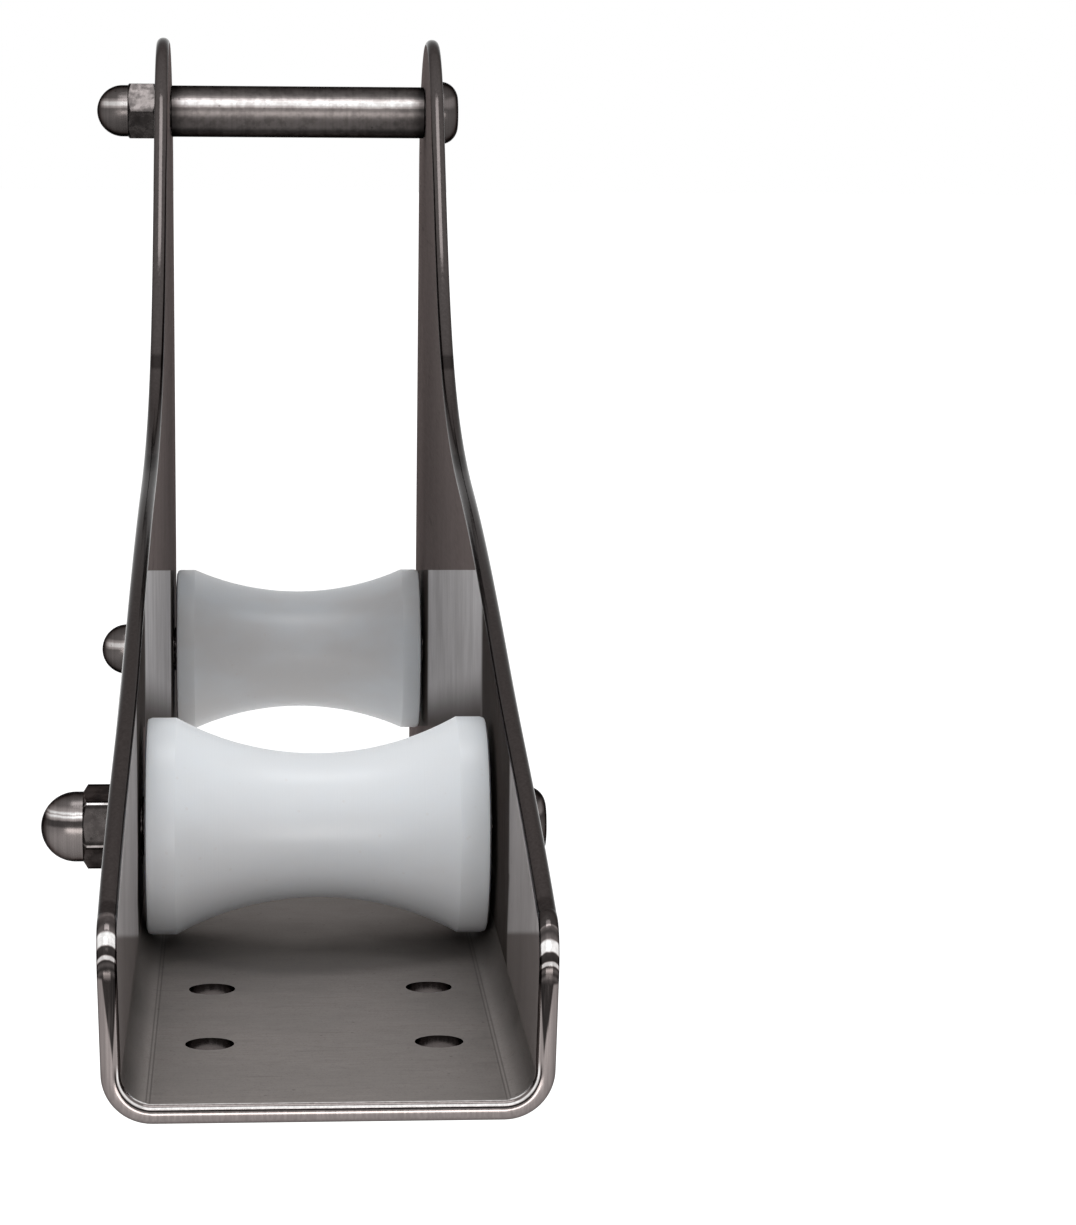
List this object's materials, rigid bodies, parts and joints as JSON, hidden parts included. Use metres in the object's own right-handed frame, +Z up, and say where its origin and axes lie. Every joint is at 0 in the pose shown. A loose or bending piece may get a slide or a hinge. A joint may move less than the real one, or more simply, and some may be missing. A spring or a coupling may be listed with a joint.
{
  "type": "bow roller",
  "caption": "Bent stainless channel with two white hourglass rollers on cross bolts and a guard tube between tall horns, to lead an anchor chain over a bow.",
  "frame": {"origin": "centre of the four deck holes on the underside of the floor", "axes": "+Y forward over the bow, +X to starboard, +Z up from the deck"},
  "size_m": [0.1154, 0.607, 0.2725],
  "materials": {
    "polished_stainless": "fine brushed floor, polished cheeks and rounded mirror edges",
    "satin_stainless": "satin, drawn lengthways",
    "fastener_stainless": "smooth, lightly turned",
    "dark_sleeve_steel": "dull, in shadow",
    "white_nylon": "turned white nylon, soft sheen"
  },
  "bodies": {
    "frame": {"channel_frame": "polished_stainless", "bail_tube": "satin_stainless", "bail_bolt": "fastener_stainless", "bail_acorn_nut": "fastener_stainless", "aft_axle_sleeve": "dark_sleeve_steel", "aft_axle_bolt": "fastener_stainless", "aft_acorn_nut": "fastener_stainless", "aft_head_washer": "fastener_stainless", "fore_axle_sleeve": "dark_sleeve_steel", "fore_axle_bolt": "fastener_stainless", "fore_acorn_nut": "fastener_stainless", "fore_head_washer": "fastener_stainless"},
    "aft_roller": {"aft_roller": "white_nylon"},
    "fore_roller": {"fore_roller": "white_nylon"}
  },
  "joints": [
    {"name": "aft_roller_spin", "type": "hinge", "parent": "frame", "child": "aft_roller", "pos_m": [0, 0.074, 0.03], "axis": [1, 0, 0], "continuous": true},
    {"name": "fore_roller_spin", "type": "hinge", "parent": "frame", "child": "fore_roller", "pos_m": [0, 0.4335, 0.016], "axis": [1, 0, 0], "continuous": true}
  ]
}
